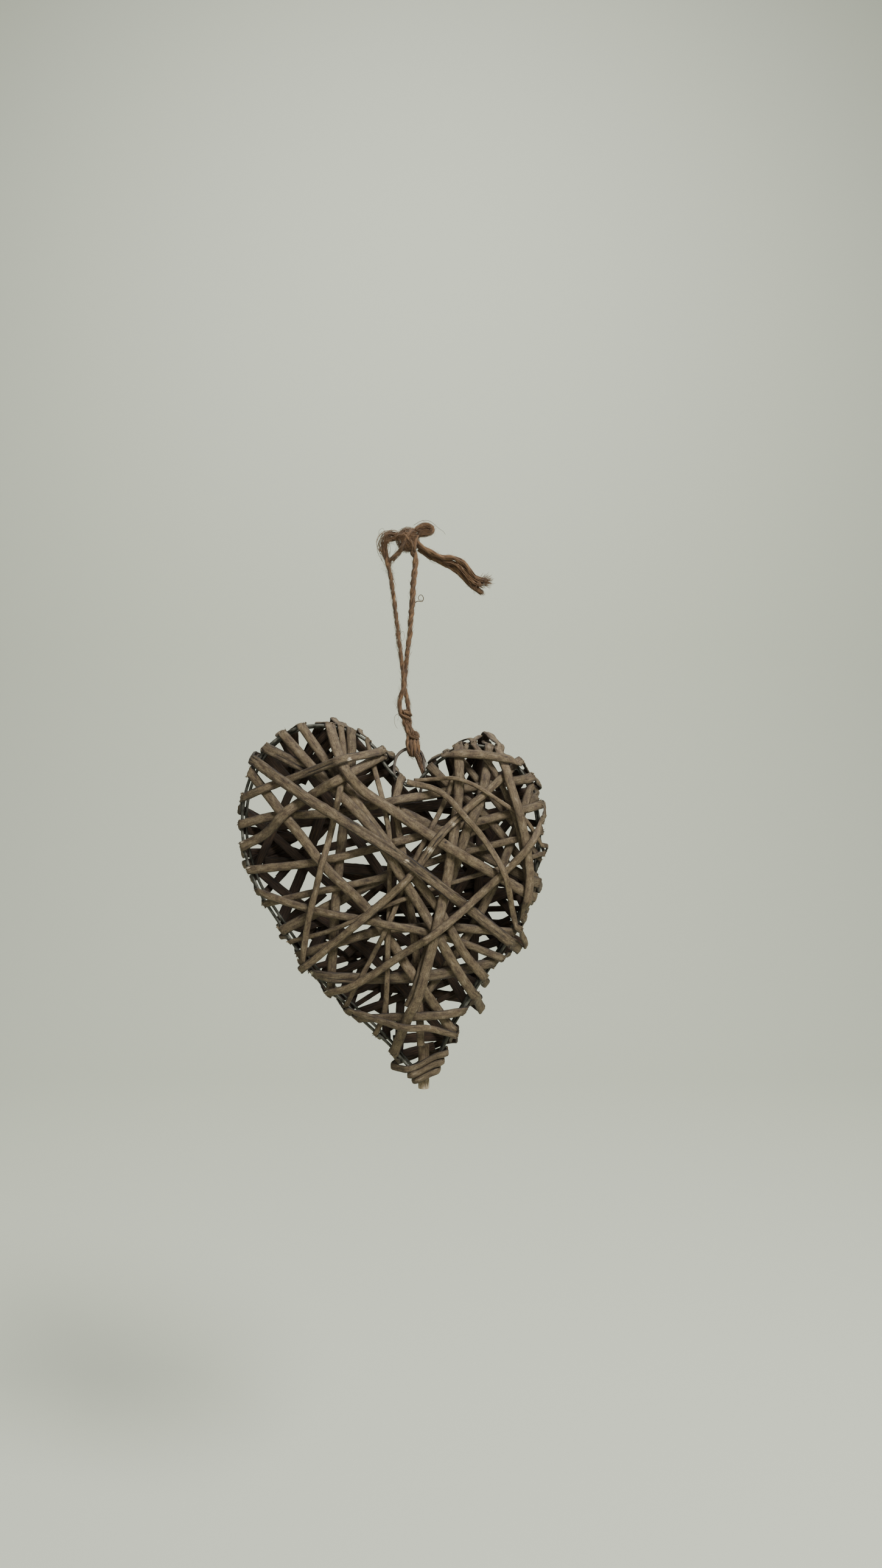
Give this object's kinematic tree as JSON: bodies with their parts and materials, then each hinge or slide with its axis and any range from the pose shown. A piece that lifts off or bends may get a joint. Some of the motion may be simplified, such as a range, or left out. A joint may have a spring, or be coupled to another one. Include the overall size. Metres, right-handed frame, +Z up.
{
  "type": "woven willow heart ornament",
  "caption": "Puffy hollow heart of split willow strips woven round two heart-shaped wires, bound at its point, hung from a bark loop by a knotted jute twine.",
  "frame": {"origin": "underside of the twine's arch, the point that rests on the hook", "axes": "+Z up, from the bound point of the heart towards the hook; -Y is the front of the heart, and +X is to the right as seen from the front"},
  "size_m": [0.2022, 0.0716, 0.3665],
  "materials": {
    "willow": "weathered split willow, greyed and matt, with the grain running along each strip",
    "cut_rod": "lighter cut end of a willow rod",
    "wire": "dull galvanised wire with a few bright spots",
    "bark": "dry grey bark fibre",
    "jute": "brown two-ply jute with loose fibres"
  },
  "bodies": {
    "root": {"willow_strip_01": "willow", "willow_strip_02": "willow", "willow_strip_03": "willow", "willow_strip_04": "willow", "willow_strip_05": "willow", "willow_strip_06": "willow", "willow_strip_07": "willow", "willow_strip_08": "willow", "willow_strip_09": "willow", "willow_strip_10": "willow", "willow_strip_11": "willow", "willow_strip_12": "willow", "willow_strip_13": "willow", "willow_strip_14": "willow", "willow_strip_15": "willow", "willow_strip_16": "willow", "willow_strip_17": "willow", "willow_strip_18": "willow", "willow_strip_19": "willow", "willow_strip_20": "willow", "willow_strip_21": "willow", "willow_strip_22": "willow", "willow_strip_23": "willow", "willow_strip_24": "willow", "willow_strip_25": "willow", "willow_strip_26": "willow", "willow_strip_27": "willow", "willow_strip_28": "willow", "willow_strip_29": "willow", "willow_strip_30": "willow", "willow_strip_31": "willow", "willow_strip_32": "willow", "willow_strip_33": "willow", "willow_strip_34": "willow", "willow_strip_35": "willow", "willow_lining_01": "willow", "willow_lining_02": "willow", "willow_lining_03": "willow", "willow_lining_04": "willow", "willow_lining_05": "willow", "willow_lining_06": "willow", "willow_lining_07": "willow", "willow_lining_08": "willow", "willow_lining_09": "willow", "willow_lining_10": "willow", "willow_lining_11": "willow", "tip_binding": "willow", "tip_rod_end": "cut_rod", "rim_wire_front": "wire", "rim_wire_back": "wire", "bark_hanging_loop": "bark", "twine_strand_left": "jute", "twine_strand_right": "jute", "twine_eye_strand": "jute", "twine_bow": "jute", "twine_tail_upper": "jute", "twine_tail_lower": "jute", "twine_top_knot": "jute", "twine_ring_knot": "jute"}
  },
  "joints": []
}
